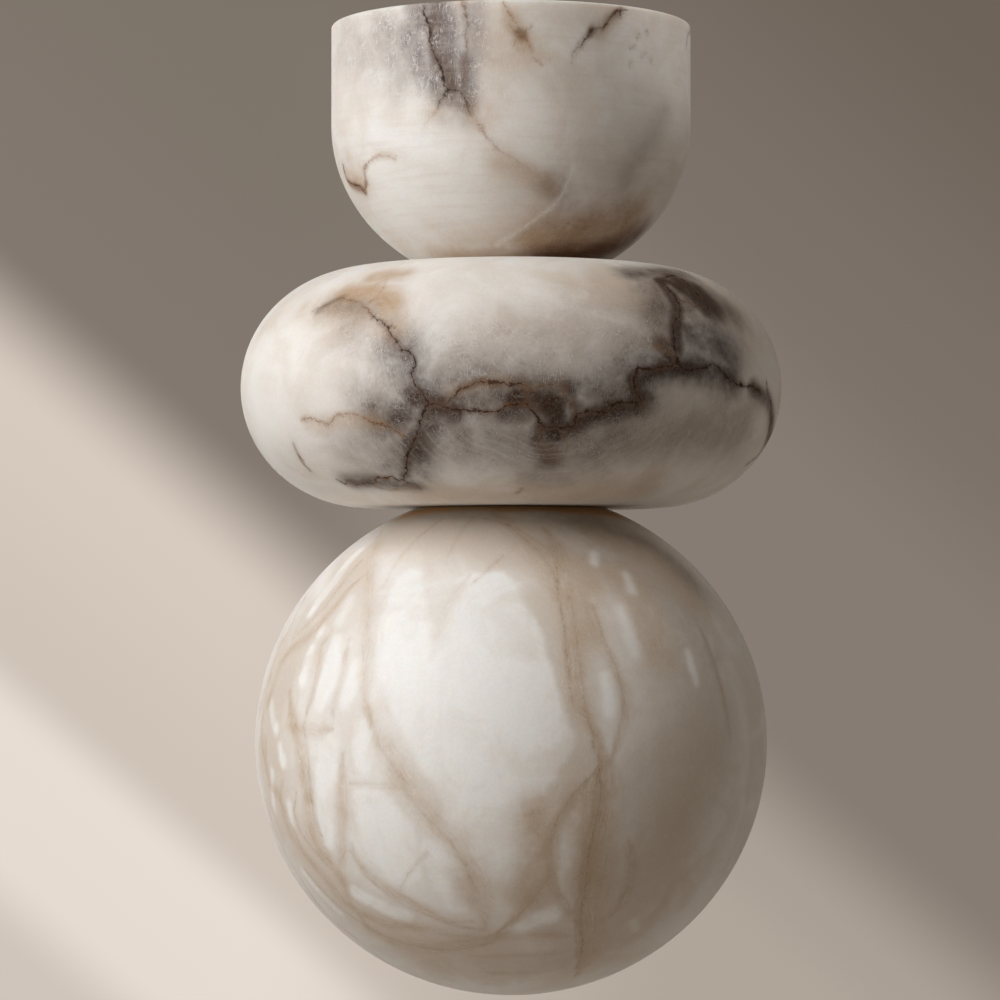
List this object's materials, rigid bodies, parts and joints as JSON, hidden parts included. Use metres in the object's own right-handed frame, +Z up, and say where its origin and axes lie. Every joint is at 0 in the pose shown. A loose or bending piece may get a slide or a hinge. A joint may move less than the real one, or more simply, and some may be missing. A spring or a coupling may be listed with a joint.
{
  "type": "pendant light",
  "caption": "Pendant light of stacked hollow alabaster stones: a bowl, a thick disc and a ball on a hollow stem with inner light columns. The ball twists off and the bowl's cover lifts.",
  "frame": {"origin": "mouth of the threaded suspension socket in the top coupler, on the stem's axis", "axes": "+Z up along the stem and out of the suspension socket; the pictured side faces -Y"},
  "size_m": [0.27, 0.27, 0.4994],
  "materials": {
    "alabaster_bowl": "honed, waxed",
    "alabaster_disc": "honed, waxed",
    "alabaster_ball": "honed, waxed",
    "brass": "turned, satin",
    "steel": "zinc plated",
    "aluminium": "anodised",
    "silicone": "matt",
    "nylon": "matt",
    "led_board": "semi matt"
  },
  "bodies": {
    "hanging_frame": {"suspension_coupler": "brass", "coupler_set_screw": "steel", "bowl": "alabaster_bowl", "bowl_light_column": "aluminium", "bowl_led_strips": "led_board", "terminal_block": "nylon", "bowl_clamp_plate": "steel", "bowl_floor_gasket": "silicone", "bowl_seat_gasket": "silicone", "centring_bush": "nylon", "disc": "alabaster_disc", "disc_light_column": "aluminium", "disc_led_strips": "led_board", "disc_support_gasket": "silicone", "carrier_hub": "steel", "stop_pin": "steel", "stem_tube": "steel", "stem_nuts": "steel", "stem_washers": "steel", "ball_light_column": "aluminium", "ball_led_strips": "led_board", "ball_end_board": "led_board"},
    "lower_ball": {"ball": "alabaster_ball", "ball_ring": "steel", "ball_seat_gasket": "silicone"},
    "bowl_cover": {"top_cover": "brass"}
  },
  "joints": [
    {"name": "ball_twist", "type": "hinge", "parent": "hanging_frame", "child": "lower_ball", "pos_m": [0, 0, -0.265], "axis": [0, 0, -1], "range_deg": [0, 60]},
    {"name": "cover_lift", "type": "slide", "parent": "hanging_frame", "child": "bowl_cover", "axis": [0, 0, 1], "range_m": [0, 0.1]}
  ]
}
